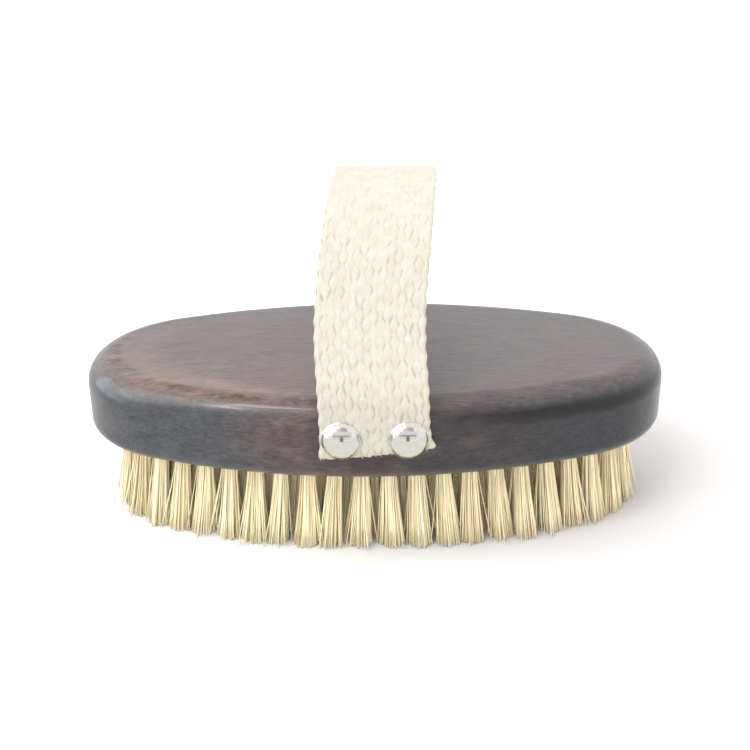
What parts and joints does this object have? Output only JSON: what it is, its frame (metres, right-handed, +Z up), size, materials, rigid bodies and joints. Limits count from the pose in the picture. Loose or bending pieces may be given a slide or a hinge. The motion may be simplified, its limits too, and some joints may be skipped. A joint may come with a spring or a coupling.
{
  "type": "body dry brush",
  "caption": "Oval wooden body brush with drilled bristle tufts underneath and a cotton webbing hand strap nailed across the middle.",
  "frame": {"origin": "middle of the plane that the bristle tips stand on, under the centre of the oval body", "axes": "+X along the brush, +Y from the front side to the rear side, +Z up from the bristle tips to the strap"},
  "size_m": [0.14, 0.084, 0.081],
  "materials": {
    "wood": "satin lacquer over dark stained fine grain",
    "webbing": "undyed thick cotton webbing with lengthwise ribs",
    "nickel": "polished nickel plate",
    "tack_steel": "plain steel wire",
    "staple_wire": "flat galvanised wire",
    "bristle": "stiff pale plant fibre, cut ends"
  },
  "bodies": {
    "root": {"bristles_centre_left": "bristle", "bristles_centre_right": "bristle", "bristles_inner_left": "bristle", "bristles_inner_right": "bristle", "bristles_outer_left": "bristle", "bristles_outer_right": "bristle", "bristles_second_left": "bristle", "bristles_second_right": "bristle", "bristles_third_left": "bristle", "bristles_third_right": "bristle", "nail_cap_front_left": "nickel", "nail_cap_front_right": "nickel", "nail_cap_rear_left": "nickel", "nail_cap_rear_right": "nickel", "nail_tack_front_left": "tack_steel", "nail_tack_front_right": "tack_steel", "nail_tack_rear_left": "tack_steel", "nail_tack_rear_right": "tack_steel", "staples_centre_left": "staple_wire", "staples_centre_right": "staple_wire", "staples_inner_left": "staple_wire", "staples_inner_right": "staple_wire", "staples_outer_left": "staple_wire", "staples_outer_right": "staple_wire", "staples_second_left": "staple_wire", "staples_second_right": "staple_wire", "staples_third_left": "staple_wire", "staples_third_right": "staple_wire", "strap_end_front": "webbing", "strap_end_rear": "webbing", "wooden_body": "wood"},
    "strap": {"strap_arch": "webbing"}
  },
  "joints": [
    {"name": "strap_sway", "type": "hinge", "parent": "root", "child": "strap", "pos_m": [0, 0, 0.046], "axis": [0, 1, 0], "range_deg": [-20, 20], "stiffness_Nm_per_rad": 0.02}
  ]
}
